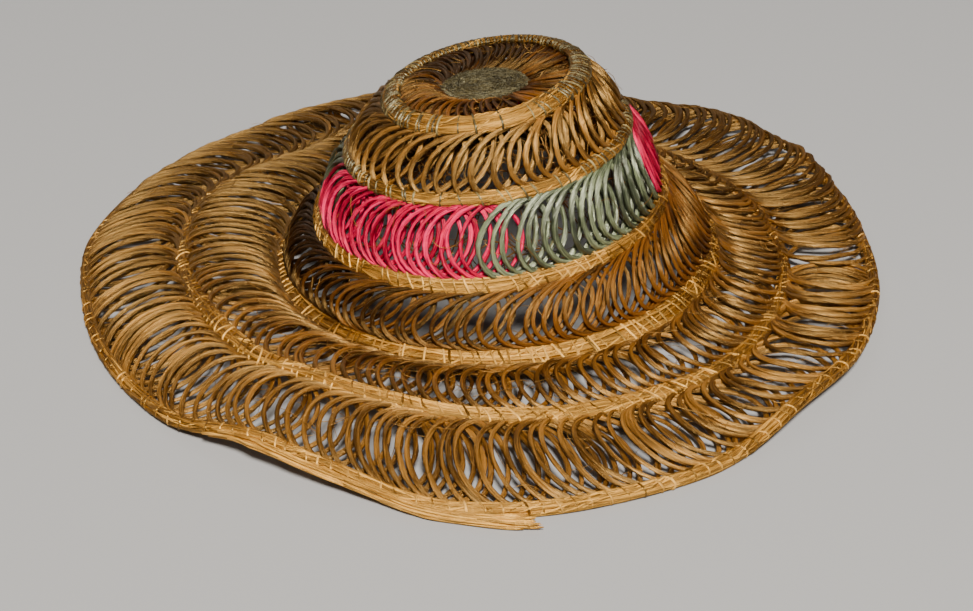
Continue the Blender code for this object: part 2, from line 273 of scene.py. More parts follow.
# gloss: how strong the shine is. grain_mm: how deep the grain is
Straw = namedtuple("Straw", "dark middle light shine gloss grain_mm")
STRAWS = {
    "gold_straw": Straw(
        (0.030, 0.010, 0.001), (0.085, 0.032, 0.004), (0.30, 0.130, 0.022), GOLD_SHINE, 1.0, 0.7
    ),
    "brown_straw": Straw(
        (0.026, 0.009, 0.001), (0.068, 0.023, 0.003), (0.24, 0.096, 0.015), GOLD_SHINE, 1.0, 0.7
    ),
    # Gold straw darkened, with the same shine: painted shade where it dulls the crown's base row and fills
    # the crown's hollow with dark fibres; the crown's top row is of it too
    "umber_straw_and_painted_shade": Straw(
        (0.013, 0.004, 0.001), (0.045, 0.013, 0.002), (0.17, 0.057, 0.008), GOLD_SHINE, 0.4, 0.6
    ),
    "pink_straw": Straw(
        (0.16, 0.001, 0.010), (0.70, 0.003, 0.060), (1.0, 0.022, 0.145), PINK_SHINE, 0.2, 0.4
    ),
    "green_straw": Straw(
        (0.010, 0.013, 0.005), (0.055, 0.068, 0.030), (0.25, 0.29, 0.155), SAGE_SHINE, 0.7, 0.4
    ),
    "coil_straw": Straw(
        (0.040, 0.012, 0.001), (0.29, 0.115, 0.012), (0.97, 0.51, 0.10), COIL_SHINE, 1.0, 1.1
    ),
    "gold_stitch": Straw(
        (0.055, 0.019, 0.002), (0.34, 0.155, 0.026), (0.90, 0.50, 0.12), COIL_SHINE, 1.0, 0.4
    ),
    "sage_stitch": Straw(
        (0.030, 0.018, 0.005), (0.095, 0.066, 0.021), (0.30, 0.225, 0.088), FELT_SHINE, 0.5, 0.4
    ),
    "green_stitch": Straw(
        (0.035, 0.021, 0.006), (0.13, 0.088, 0.028), (0.36, 0.27, 0.105), FELT_SHINE, 0.5, 0.4
    ),
    "sage_felt": Straw(
        (0.012, 0.008, 0.002), (0.026, 0.017, 0.005), (0.105, 0.080, 0.029), FELT_SHINE, 0.4, 0.8
    ),
}

# slim: how much of its solid's width a coil shows, at the back and at the front. thick: half its thickness
# in mm. cover: how far the loops lie over it at the back. every and radius: the spacing of its stitches and
# the radius of their cord, in mm. slant: of a stitch, as a share of the spacing. skip: the share of the
# stitches left out at the front
Coil = namedtuple("Coil", "node slim_back slim_front thick cover every radius slant skip stitch")
COILS = (
    Coil("crown_top_coil", 0.92, 0.90, 2.9, 0.0, 2.7, 0.62, 1.2, 0.80, "sage_stitch"),
    Coil("crown_wall_coil", 0.90, 0.92, 2.8, 0.0, 3.6, 0.60, 0.9, 0.55, "green_stitch"),
    Coil("band_coil", 0.80, 1.05, 2.8, 0.0, 6.0, 0.62, 0.9, 0.15, "gold_stitch"),
    Coil("crown_base_coil", 0.40, 1.45, 3.0, 0.8, 5.0, 0.68, 1.1, 0.15, "gold_stitch"),
    Coil("brim_middle_coil", 0.25, 0.85, 2.5, 1.0, 4.6, 0.60, 1.2, 0.15, "gold_stitch"),
    Coil("brim_edge_coil", 0.40, 0.66, 2.8, 1.0, 8.2, 0.60, 0.35, 0.0, "gold_stitch"),
)
EDGE = len(COILS) - 1

# width: a loop's half width. radius: of its cord. depth: how far its two sides lie from the row's middle
# surface. lean: how far its inner end runs ahead of its outer end. All four are in mm. scatter: how unevenly
# the loops follow each other, as a share of their spacing. right_lit: painted light, how much lighter the
# row is at the hat's right, and darker at its left, as if light fell from the front right
Row = namedtuple("Row", "node outer_coil loops start stop width radius depth lean scatter right_lit straw")
ROWS = (
    Row("crown_top_loops", 0, 60, 0, 360, 9.5, 1.20, 1.5, 4, 0.14, 0.00, "umber_straw_and_painted_shade"),
    Row("crown_wall_loops", 1, 57, 0, 360, 14.5, 1.50, 2.6, 12, 0.18, 0.07, "gold_straw"),
    Row("band_loops_pink_front", 2, 23, 190, 273, 17.5, 1.35, 2.4, 3, 0.12, 0.00, "pink_straw"),
    Row("band_loops_green_front", 2, 17, 273, 350, 17.0, 1.50, 2.4, 8, 0.12, 0.00, "green_straw"),
    Row("band_loops_pink_back", 2, 24, 350, 450, 16.5, 1.40, 1.9, 4, 0.14, 0.00, "pink_straw"),
    Row("band_loops_green_back", 2, 23, 450, 550, 16.5, 1.50, 1.9, 4, 0.14, 0.00, "green_straw"),
    Row("crown_base_loops", 3, 117, 0, 360, 18.0, 1.25, 2.4, 18, 0.18, 0.24, "umber_straw_and_painted_shade"),
    Row("brim_inner_loops", 4, 146, 0, 360, 17.0, 1.45, 2.2, -4, 0.22, 0.05, "brown_straw"),
    Row("brim_outer_loops", 5, 211, 0, 360, 19.5, 1.42, 2.3, -8, 0.32, 0.04, "gold_straw"),
)

# rows: the rows that loose fibres lie along, named by their outer coil, once for each part of them.
# lift: how far they lie off a row's middle surface. lift, length and thickest are in mm
Strays = namedtuple("Strays", "name rows count lift length thickest straw")
STRAYS = (
    # Many thick dark fibres low inside the crown: painted shade that darkens its hollow
    Strays("crown_inside_painted_shade_fibres", (0, 1, 1, 1, 2, 2), 1000, (-10, -4), (18, 45), 0.55, "umber_straw_and_painted_shade"),
    Strays("crown_loose_fibres", (0, 1, 2, 3), 260, (1, 5), (8, 24), 0.20, "gold_straw"),
    Strays("brim_loose_fibres", (4, 5), 800, (-3, 5), (10, 30), 0.20, "gold_straw"),
)

# Seeds. The first of each kind, where each piece of it has its own
LOOPS_SEED = 100
COILS_SEED = 200
STITCHES_SEED = 300
STRAYS_SEED = 400
DISC_SEED = 5
END_SEED = 9


def unit(vectors):
    return vectors / np.linalg.norm(vectors, axis=-1, keepdims=True)


def node_points(name):
    """The separate points of a CAD node's mesh."""
    points = np.array([vertex.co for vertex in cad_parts[name].data.vertices])
    return np.unique(np.round(points, 6), axis=0)


class Ring:
    """A coil's middle line as a smooth closed curve, read from the sections of its CAD solid."""

    def __init__(self, name):
        points = node_points(name)
        middle = (points.min(axis=0) + points.max(axis=0)) / 2
        azimuth = np.arctan2(points[:, 1] - middle[1], points[:, 0] - middle[0]) % TURN
        order = np.argsort(azimuth)
        points = points[order]
        gap = np.argmax(np.diff(azimuth[order], append=azimuth[order][0] + TURN))
        points = np.roll(points, -(gap + 1), axis=0)
        count = len(points) // CORNERS
        sections = points.reshape(count, CORNERS, 3)
        centres = sections.mean(axis=1)
        ahead = np.arctan2(centres[:, 1] - middle[1], centres[:, 0] - middle[0])
        centres = np.roll(centres, -int(np.argmin(np.abs(ahead))), axis=0)
        spans = np.linalg.norm(sections[:, :, None] - sections[:, None, :], axis=-1)
        self.half_width = float(spans.max(axis=(1, 2)).mean() / 2)
        self.harmonics = np.fft.rfft(centres, axis=0) / count
        self.harmonics[1:] *= 2
        self.order = np.arange(len(self.harmonics))
        self.radius = float(np.linalg.norm(centres - centres.mean(axis=0), axis=1).mean())

    def at(self, azimuth):
        wave = np.exp(1j * np.outer(azimuth, self.order))
        return np.real(wave @ self.harmonics)


class Rim:
    """The crown disc's rim, as the inner edge of the first row of loops."""

    def __init__(self, name):
        points = node_points(name)
        self.centre = points.mean(axis=0)
        spread = points - self.centre
        self.normal = np.linalg.svd(spread, full_matrices=False)[2][2]
        self.normal *= np.sign(self.normal[2])
        self.half = np.abs(spread).max(axis=0)
        self.radius = float(self.half[:2].mean())

    def at(self, azimuth):
        x = self.half[0] * np.cos(azimuth)
        y = self.half[1] * np.sin(azimuth)
        z = -(self.normal[0] * x + self.normal[1] * y) / self.normal[2]
        return self.centre + np.stack([x, y, z], axis=-1)


rings = [Ring(coil.node) for coil in COILS]
rim = Rim("crown_disc")


def around(azimuth):
    """The level direction round the hat, anticlockwise from above."""
    return np.stack([-np.sin(azimuth), np.cos(azimuth), np.zeros_like(azimuth)], axis=-1)


def front_share(azimuth):
    """0 at the back of the hat and 1 at its front."""
    return np.clip(FRONT_AT_SIDES - FRONT_RISE * np.sin(azimuth), 0, 1)


def lit_share(azimuth):
    """0 from the sides backwards and 1 at the middle of the front."""
    return np.clip(-np.sin(azimuth), 0, 1) ** LIT_POWER


def lit_tint(kind, share):
    """How much lighter strands of a kind are where they have a share of the light."""
    return kind.gain * (share - kind.level)


def drift(random, share, spread, knots, closed=False):
    """A smooth random wander at shares of the way along, which ends as it began where it is closed."""
    values = random.normal(0, spread, knots + 1)
    if closed:
        values[-1] = values[0]
    low = np.clip((share * knots).astype(int), 0, knots - 1)
    part = share * knots - low
    part = part * part * (3 - 2 * part)
    return values[low] * (1 - part) + values[low + 1] * part


def inner_ring(index):
    """What the row of loops inside a coil starts from: the coil before it, or the disc."""
    return rings[index - 1] if index else rim


def coil_half(index, azimuth):
    """Half the width that a coil shows at azimuths in radians."""
    coil = COILS[index]
    slim = coil.slim_back + (coil.slim_front - coil.slim_back) * front_share(azimuth)
    return rings[index].half_width * slim


def coil_cover(index, azimuth):
    """How far the loops lie over a coil: fully only at the back, where it has a cover of 1."""
    return COILS[index].cover * np.clip(COVER_AT_BACK - COVER_FALL * front_share(azimuth), 0, 1)


def coil_frame(index, azimuth):
    """A coil's middle, and the directions across its width and up through it, at azimuths in radians.

    The edge coil keeps to its solid's outer side, and the others to its middle.
    """
    centre = rings[index].at(azimuth)
    along = around(azimuth)
    if index == EDGE:
        across = np.stack([np.cos(azimuth), np.sin(azimuth), np.zeros_like(azimuth)], axis=-1)
        centre = centre + across * (rings[index].half_width - coil_half(index, azimuth))[:, None]
    else:
        across = rings[index + 1].at(azimuth) - inner_ring(index).at(azimuth)
        across = unit(across - along * (across * along).sum(axis=-1, keepdims=True))
    return centre, across, unit(np.cross(across, along))


def coil_point(index, azimuth, angle, snug):
    """Points on a coil's surface at angles round its section, and the ways out of it. snug 1 is on it."""
    centre, across, through = coil_frame(index, azimuth)
    cosine = np.cos(angle)
    sine = np.sin(angle)
    bulge = (np.abs(cosine) ** SECTION_POWER + np.abs(sine) ** SECTION_POWER) ** (-1 / SECTION_POWER)
    half = coil_half(index, azimuth)
    thick = np.minimum(COILS[index].thick * MM, half * COIL_THICKEST)
    out = across * (half * cosine * bulge)[:, None] + through * (thick * sine * bulge)[:, None]
    return centre + out * np.reshape(snug, (-1, 1)), out


def row_surface(index, azimuth, share, lift):
    """Points at a share of the way across a row of loops, lifted off its middle surface, and the normals."""
    start = inner_ring(index).at(azimuth)
    stop = rings[index].at(azimuth)
    direction = unit(stop - start)
    outer_cover = coil_cover(index, azimuth)
    outer_half = coil_half(index, azimuth)
    past_outer = -COVER_STOP * outer_half
    if index == EDGE:
        past_outer = rings[index].half_width - EDGE_STOP
        outer_half = 2 * outer_half - rings[index].half_width
    outward = outer_cover * past_outer - (1 - outer_cover) * (outer_half - TUCK)
    if index:
        inner_cover = coil_cover(index - 1, azimuth)
        inner_half = coil_half(index - 1, azimuth)
        inward = (1 - inner_cover) * (inner_half - TUCK) + inner_cover * COVER_STOP * inner_half
    else:
        inner_cover = np.zeros_like(azimuth)
        inward = np.full_like(azimuth, -DISC_OVERLAP)
    start = start + direction * inward[:, None]
    stop = stop + direction * outward[:, None]
    normal = unit(np.cross(direction, around(azimuth)))
    at_inner = inner_cover * np.clip(1 - share, 0, 1) ** OVER_COIL_POWER
    at_outer = outer_cover * np.clip(share, 0, 1) ** OVER_COIL_POWER
    height = lift + PUFF * 4 * share * (1 - share) + OVER_COIL * (at_inner + at_outer)
    return start + (stop - start) * share[:, None] + normal * height[:, None], normal


def mesh_object(name, points, faces, uvs, tints, material, nodes=()):
    """A smooth mesh object with a strand UV map and a tint on each point."""
    points = np.array(points)
    points[:, 2] = np.maximum(points[:, 2], 0)  # nothing sinks into the floor
    mesh = bpy.data.meshes.new(name)
    mesh.from_pydata(points, [], faces)
    corners = np.empty(len(mesh.loops), dtype=np.int32)
    mesh.loops.foreach_get("vertex_index", corners)
    layer = mesh.uv_layers.new(name="strand")
    layer.data.foreach_set("uv", np.asarray(uvs, dtype=np.float32)[corners].ravel())
    tint = mesh.attributes.new("tint", "FLOAT", "POINT")
    tint.data.foreach_set("value", np.asarray(tints, dtype=np.float32))
    mesh.shade_smooth()
    obj = bpy.data.objects.new(name, mesh)
    bpy.context.scene.collection.objects.link(obj)
    obj.data.materials.append(material)
    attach(obj, "root")
    if nodes:
        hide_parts(*nodes)
    return obj


def strand_frame(path, normals, closed):
    """The ways out of and across a strand at the points of its path, and the length run up to each."""
    if closed:
        tangents = np.roll(path, -1, axis=0) - np.roll(path, 1, axis=0)
    else:
        tangents = np.gradient(path, axis=0)
    tangents = unit(tangents)
    up = unit(normals - tangents * (normals * tangents).sum(axis=1, keepdims=True))
    run = np.concatenate([[0], np.cumsum(np.linalg.norm(np.diff(path, axis=0), axis=1))])
    return up, np.cross(tangents, up), run


class Strands:
    """Gathers tubes into one mesh."""

    def __init__(self):
        self.points = []
        self.faces = []
        self.uvs = []
        self.tints = []
        self.count = 0

    def add(self, path, normals, radius, tint, sides, closed=False, flat=1.0):
        """A tube along a path. radius and tint have one value for each point of it."""
        steps = len(path)
        up, side, run = strand_frame(path, normals, closed)
        angle = TURN * np.arange(sides) / sides
        ring = (
            path[:, None]
            + up[:, None] * (radius[:, None] * np.cos(angle))[..., None] * flat
            + side[:, None] * (radius[:, None] * np.sin(angle))[..., None]
        )
        self.points.append(ring.reshape(-1, 3))
        grid = self.count + np.arange(steps * sides).reshape(steps, sides)
        after = np.roll(grid, -1, axis=0) if closed else grid[1:]
        before = grid if closed else grid[:-1]
        quads = np.stack([before, np.roll(before, -1, axis=1), np.roll(after, -1, axis=1), after], axis=-1)
        self.faces.extend(quads.reshape(-1, 4).tolist())
        if not closed:
            self.faces.append(grid[0][::-1].tolist())
            self.faces.append(grid[-1].tolist())
        # Each tube starts elsewhere on the UV map, so that no two have the same fibres
        length = np.broadcast_to(run[:, None] * PER_CM + self.count, (steps, sides))
        girth = angle[None] * radius[:, None] * PER_CM
        self.uvs.append(np.stack([length, girth], axis=-1).reshape(-1, 2))
        self.tints.append(np.repeat(tint, sides))
        self.count += steps * sides

    def add_cord(self, random, path, normals, radius, tint, closed):
        """A cord of loosely twisted plies along a path."""
        up, side, run = strand_frame(path, normals, closed)
        share = run / run[-1] * (1 - 1 / len(path)) if closed else run / run[-1]
        twists = round(run[-1] / TWIST_LENGTH)
        knots = len(path) // PLY_STEPS
        for ply in range(PLIES):
            wander = drift(random, share, PLY_WANDER, knots, closed)
            angle = TURN * (ply / PLIES + twists * share) + wander
            offset = radius * PLY_OFFSET * (1 + drift(random, share, PLY_LOOSENESS, knots, closed))
            off = up * (offset * np.cos(angle))[:, None] + side * (offset * np.sin(angle))[:, None]
            thin = radius * PLY_RADIUS * (1 + drift(random, share, PLY_SWELL, knots, closed))
            shade = tint + drift(random, share, PLY_TINT, knots, closed)
            self.add(path + off, off, thin, shade, PLY_SIDES, closed)

    def build(self, name, material, nodes=()):
        points = np.concatenate(self.points)
        uvs = np.concatenate(self.uvs)
        tints = np.concatenate(self.tints)
        return mesh_object(name, points, self.faces, uvs, tints, material, nodes)


def new_material(name, roughness):
    """A material and its Principled shader."""
    material = bpy.data.materials.new(name)
    material.use_nodes = True
    shader = material.node_tree.nodes["Principled BSDF"]
    shader.inputs["Roughness"].default_value = roughness
    return material, shader


def noise(tree, place, scale, detail, roughness=0.5):
    """Noise at a socket's places."""
    node = tree.nodes.new("ShaderNodeTexNoise")
    node.inputs["Scale"].default_value = scale
    node.inputs["Detail"].default_value = detail
    node.inputs["Roughness"].default_value = roughness
    tree.links.new(place, node.inputs["Vector"])
    return node.outputs["Fac"]


def weighted_sum(tree, value, weight, added):
    """A socket's value times a weight, plus another's."""
    node = tree.nodes.new("ShaderNodeMath")
    node.operation = "MULTIPLY_ADD"
    node.inputs[1].default_value = weight
    tree.links.new(value, node.inputs[0])
    tree.links.new(added, node.inputs[2])
    return node.outputs["Value"]


def bump(tree, height, strength, depth):
    """A bump node over a socket's heights."""
    node = tree.nodes.new("ShaderNodeBump")
    node.inputs["Strength"].default_value = strength
    node.inputs["Distance"].default_value = depth
    tree.links.new(height, node.inputs["Height"])
    return node


def shine_across_fibres(tree, shader, straw):
    """A coloured shine, stretched across the strand as fibres stretch it."""
    shader.inputs["Specular IOR Level"].default_value = straw.gloss
    shader.inputs["Specular Tint"].default_value = (*straw.shine, 1)
    shader.inputs["IOR"].default_value = STRAW_IOR
    shader.inputs["Anisotropic"].default_value = ANISOTROPY
    shader.inputs["Anisotropic Rotation"].default_value = ACROSS_FIBRES
    tangent = tree.nodes.new("ShaderNodeTangent")
    tangent.direction_type = "UV_MAP"
    tangent.uv_map = "strand"
    tree.links.new(tangent.outputs["Tangent"], shader.inputs["Tangent"])


def straw_fibres(tree, uv):
    """Noise drawn out into fibres along the strand."""
    stretch = tree.nodes.new("ShaderNodeMapping")
    stretch.inputs["Scale"].default_value = (FIBRE_CHANGES_PER_CM, FIBRES_PER_CM, 1.0)
    tree.links.new(uv, stretch.inputs["Vector"])
    return noise(tree, stretch.outputs["Vector"], 1.0, 3.0, 0.65)


def straw_grain(tree, uv):
    """Shorter fibres, slanting across the strand."""
    slant = tree.nodes.new("ShaderNodeMapping")
    slant.vector_type = "TEXTURE"
    slant.inputs["Rotation"].default_value = (0, 0, GRAIN_SLANT)
    slant.inputs["Scale"].default_value = (1 / GRAINS_PER_CM, 1 / FIBRES_PER_CM, 1.0)
    tree.links.new(uv, slant.inputs["Vector"])
    return noise(tree, slant.outputs["Vector"], 1.0, 2.0)


def straw_colour(tree, fibre, straw):
    """Dark to light by fibre, by patches over the hat and by each strand's own tint."""
    place = tree.nodes.new("ShaderNodeTexCoord")
    patch = noise(tree, place.outputs["Object"], PATCHES_PER_M, 2.0)
    tint = tree.nodes.new("ShaderNodeAttribute")
    tint.attribute_name = "tint"
    spots = weighted_sum(tree, patch, PATCH_WEIGHT, tint.outputs["Fac"])
    blend = weighted_sum(tree, fibre, FIBRE_WEIGHT, spots)
    ramp = tree.nodes.new("ShaderNodeValToRGB")
    first, last = ramp.color_ramp.elements
    first.position = DARK_AT
    first.color = (*straw.dark, 1)
    last.position = LIGHT_AT
    last.color = (*straw.light, 1)
    centre = ramp.color_ramp.elements.new(MIDDLE_AT)
    centre.color = (*straw.middle, 1)
    tree.links.new(blend, ramp.inputs["Fac"])
    return ramp.outputs["Color"]


def straw_roughness(tree, grain):
    """Glossier and duller by the grain."""
    node = tree.nodes.new("ShaderNodeMapRange")
    node.inputs["From Min"].default_value = GRAIN_RANGE[0]
    node.inputs["From Max"].default_value = GRAIN_RANGE[1]
    node.inputs["To Min"].default_value = STRAW_ROUGHNESS - GLOSSIER
    node.inputs["To Max"].default_value = STRAW_ROUGHNESS + DULLER
    tree.links.new(grain, node.inputs["Value"])
    return node.outputs["Result"]


def straw_material(name, straw):
    """Straw: fine fibres and grain along the strand, patches of colour, and a coloured shine."""
    material, shader = new_material(name, STRAW_ROUGHNESS)
    tree = material.node_tree
    shine_across_fibres(tree, shader, straw)
    uv = tree.nodes.new("ShaderNodeUVMap")
    uv.uv_map = "strand"
    fibre = straw_fibres(tree, uv.outputs["UV"])
    grain = straw_grain(tree, uv.outputs["UV"])
    relief = bump(tree, fibre, FIBRE_RELIEF_STRENGTH, FIBRE_RELIEF)
    pits = bump(tree, grain, GRAIN_RELIEF_STRENGTH, straw.grain_mm * MM)
    tree.links.new(pits.outputs["Normal"], relief.inputs["Normal"])
    tree.links.new(relief.outputs["Normal"], shader.inputs["Normal"])
    tree.links.new(straw_colour(tree, fibre, straw), shader.inputs["Base Color"])
    tree.links.new(straw_roughness(tree, grain), shader.inputs["Roughness"])
    return material


MATERIALS = {name: straw_material(name, straw) for name, straw in STRAWS.items()}


def make_loops(row, seed):
    """One row, or one dyed length of it: a cord wound round and round between two coils."""
    random = np.random.default_rng(seed)
    ring = row.stop - row.start == 360
    inner = inner_ring(row.outer_coil).radius
    outer = rings[row.outer_coil].radius
    girth = math.pi * (row.width * MM + LOOP_HEIGHT * (outer - inner) / 2)
    steps = row.loops * round(girth / LOOP_STEP)
    turn = np.linspace(0, row.loops, steps, endpoint=not ring)
    share_round = turn / row.loops
    phase = TURN * turn + math.pi / 2

    def vary(spread, knots=row.loops):
        return drift(random, share_round, spread, knots, ring)

    share = 0.5 - 0.5 * np.sin(phase) * (1 + vary(UNEVEN_ENDS))
    spacing = math.radians(row.stop - row.start) / row.loops
    place = math.radians(row.start) + spacing * turn
    if ring:
        place = place + BACK_CROWDING * np.cos(place)
    mess = np.ones(steps)
    if row.outer_coil == EDGE:
        mess = mess + TANGLE * np.exp(-(((place - TANGLE_PLACE) / TANGLE_SPAN) ** 2))
    reach = row.width * MM * (1 + vary(UNEVEN_WIDTH))
    lean = (row.lean + vary(UNEVEN_LEAN) * mess) * MM
    local = inner + (outer - inner) * np.clip(share, 0, 1)
    unevenly = vary(row.scatter) + vary(BUNCHING * row.scatter, row.loops // BUNCH)
    place = place + spacing * mess * unevenly
    azimuth = place - reach * np.cos(phase) / local + lean * (0.5 - share) / local
    depth = row.depth * MM * np.cos(phase) * (1 + vary(UNEVEN_DEPTH) * mess)
    lift = depth + vary(UNEVEN_LEVEL) * MM
    path, normals = row_surface(row.outer_coil, azimuth, share, lift)
    radius = row.radius * MM * (1 + vary(UNEVEN_RADIUS))
    # Random unevenness, plus painted light: lighter towards the front and towards the hat's right, where
    # more light falls
    tint = vary(UNEVEN_TINT) + lit_tint(LOOPS_LIT, front_share(place)) + row.right_lit * np.cos(place)
    strands = Strands()
    strands.add_cord(random, path, normals, radius, tint, ring)
    return strands.build(row.node + "_cord", MATERIALS[row.straw], (row.node,))


def add_cores(strands, index, azimuth, tint):
    """Three plain rods side by side, which fill a coil."""
    centre, across, through = coil_frame(index, azimuth)
    core = np.minimum(COILS[index].thick * MM, coil_half(index, azimuth)) * CORE_RADIUS
    wide = coil_half(index, azimuth) * CORE_REACH - core
    for side in (-1, 0, 1):
        path = centre + across * (wide * side)[:, None]
        strands.add(path, through, core, tint + CORE_TINT, CORE_SIDES, True)


def add_long_fibres(strands, index, azimuth, share, tint, random):
    """Fibres that run the whole way round a coil."""
    knots = len(azimuth) // COIL_FIBRE_STEPS
    for number in range(COIL_FIBRES):
        wander = drift(random, share, COIL_FIBRE_WANDER, knots, True)
        snug = COIL_FIBRE_SNUG + drift(random, share, COIL_FIBRE_DEPTH, knots, True)
        path, out = coil_point(index, azimuth, TURN * number / COIL_FIBRES + wander, snug)
        thin = random.uniform(*COIL_FIBRE_RADIUS) * MM
        thin = thin * (1 + drift(random, share, COIL_FIBRE_SWELL, knots, True))
        own = random.normal(0, COIL_FIBRE_TINT)
        shade = tint + own + drift(random, share, COIL_FIBRE_PATCHES, knots, True)
        strands.add(path, out, thin, shade, COIL_FIBRE_SIDES, True, COIL_FIBRE_FLAT)


def add_bits(strands, index, random):
    """Short bits of fibre that lie slanting on a coil, with their ends in it or standing off it."""
    radius = rings[index].radius
    run = np.linspace(-0.5, 0.5, BIT_STEPS)
    for number in range(int(TURN * radius / BIT_EVERY)):
        length = random.uniform(*BIT_LENGTH) * MM
        place = TURN * random.random() + run * length / radius
        angle = TURN * random.random() + random.normal(*BIT_TWIST) * length * run
        path, out = coil_point(index, place, angle, BIT_SNUG - random.uniform(*BIT_BEND) * run**2)
        thin = random.uniform(*BIT_RADIUS) * MM * (1 - BIT_TAPER * run**2)
        tint = lit_tint(BITS_LIT, lit_share(place)) + random.normal(0, BIT_TINT)
        strands.add(path, out, thin, tint, BIT_SIDES, False, BIT_FLAT)


def make_coil(index, seed):
    """A bundle of long fibres round plain cores, with short bits of fibre lying on it."""
    node = COILS[index].node
    random = np.random.default_rng(seed)
    steps = int(TURN * rings[index].radius / COIL_STEP)
    share = np.arange(steps) / steps
    azimuth = TURN * share
    tint = lit_tint(CORES_LIT, lit_share(azimuth))
    strands = Strands()
    add_cores(strands, index, azimuth, tint)
    add_long_fibres(strands, index, azimuth, share, tint, random)
    add_bits(strands, index, random)
    return strands.build(node + "_bundle", MATERIALS["coil_straw"], (node,))


def make_stitches(index, seed):
    """Thin cords wrapped round a coil, one for each stitch."""
    coil = COILS[index]
    random = np.random.default_rng(seed)
    radius = rings[index].radius
    count = round(TURN * radius / (coil.every * MM))
    turn = TURN * np.arange(STITCH_STEPS) / STITCH_STEPS
    strands = Strands()
    for number in range(count):
        place = TURN * (number + random.normal(0, STITCH_SCATTER)) / count
        if random.random() < coil.skip * np.clip(-SKIP_RISE * np.sin(place) - SKIP_START, 0, 1):
            continue
        slant = coil.slant * coil.every * MM * (1 + random.normal(0, STITCH_SLANTS))
        azimuth = place + slant * np.cos(turn + random.normal(0, STITCH_SWING)) / 2 / radius
        dip = STITCH_DIP * np.cos(turn - TURN * random.random())
        snug = STITCH_SNUG + random.uniform(0, STITCH_LOOSENESS) + dip
        path, out = coil_point(index, azimuth, turn, snug)
        thin = np.full(STITCH_STEPS, coil.radius * MM * random.uniform(*STITCH_RADIUS))
        tint = lit_tint(STITCHES_LIT, lit_share(place)) + random.normal(0, STITCH_TINT)
        strands.add(path, out, thin, np.full(STITCH_STEPS, tint), STITCH_SIDES, True)
    return strands.build(coil.node + "_stitches", MATERIALS[coil.stitch])


def make_strays(strays, seed):
    """Fine loose fibres along rows of loops."""
    random = np.random.default_rng(seed)
    strands = Strands()
    run = np.linspace(-0.5, 0.5, STRAY_STEPS)
    for number in range(strays.count):
        index = strays.rows[random.integers(len(strays.rows))]
        radius = rings[index].radius
        span = max(radius - inner_ring(index).radius, STRAY_LEAST_SPAN)
        reach = random.uniform(*strays.length) * MM
        heading = random.normal(*STRAY_HEADING) + random.normal(0, STRAY_BENDS) * run
        azimuth = TURN * random.random() + run * reach * np.cos(heading) / radius
        share = random.uniform(*STRAY_SHARES) + run * reach * np.sin(heading) / span
        share = np.clip(share, 0.0, 1.0)
        level = random.uniform(*strays.lift) + random.normal(0, STRAY_TILTS) * run
        height = (level + random.normal(0, STRAY_ARCHES) * run**2) * MM
        path, normals = row_surface(index, azimuth, share, height)
        path[:, 2] = np.maximum(path[:, 2], STRAY_LOWEST)
        path = path + random.normal(0, STRAY_KINKS, path.shape)
        thin = np.full(STRAY_STEPS, random.uniform(STRAY_THINNEST, strays.thickest) * MM)
        tint = np.full(STRAY_STEPS, random.normal(*STRAY_TINT))
        strands.add(path, normals, thin, tint, STRAY_SIDES)
    return strands.build(strays.name, MATERIALS[strays.straw])


def make_disc_felt(random):
    """The disc's felt: faint rings on top, a drop down to its rim, and a flat underside."""
    azimuth = TURN * np.arange(DISC_COLUMNS) / DISC_COLUMNS
    edge = rim.at(azimuth) - rim.centre
    points = [rim.centre + rim.normal * DISC_MIDDLE]
    tints = [DISC_MIDDLE_TINT]
    for share in np.linspace(0, 1, DISC_RINGS + 1)[1:]:
        wave = math.cos(TURN * DISC_WAVES * share)
        drop = DISC_DROP * max(0, share - DISC_SHOULDER) / (1 - DISC_SHOULDER)
        for way in edge:
            height = DISC_LEVEL + DISC_WAVE * wave + random.normal(0, DISC_ROUGH) - drop
            points.append(rim.centre + way * share + rim.normal * height)
            tints.append(random.normal(0, DISC_SPOTS) + DISC_WAVE_TINT * wave)
    for way in edge:
        points.append(rim.centre + way * DISC_UNDER_SHARE - rim.normal * DISC_UNDER)
        tints.append(DISC_UNDER_TINT)
    numbers = range(DISC_COLUMNS)
    faces = [[0, 1 + number, 1 + (number + 1) % DISC_COLUMNS] for number in numbers]
    under = len(points) - DISC_COLUMNS
    for base in range(1, under, DISC_COLUMNS):
        outer = base + DISC_COLUMNS
        for number in numbers:
            after = (number + 1) % DISC_COLUMNS
            faces.append([base + number, outer + number, outer + after, base + after])
    faces.append([under + number for number in reversed(numbers)])
    points = np.array(points)
    uvs = (points[:, :2] - rim.centre[:2]) * PER_CM
    felt = MATERIALS["sage_felt"]
    mesh_object("crown_disc_felt", points, faces, uvs, tints, felt, ("crown_disc",))


def rim_way(azimuth):
    """The way from the disc's centre to its rim at one azimuth in radians."""
    return rim.at(np.array([azimuth]))[0] - rim.centre


def add_disc_strand(strands, path, radius, tint, sides):
    """A strand on the disc, with one radius and one tint all along."""
    steps = len(path)
    strands.add(path, np.tile(rim.normal, (steps, 1)), np.full(steps, radius), np.full(steps, tint), sides)


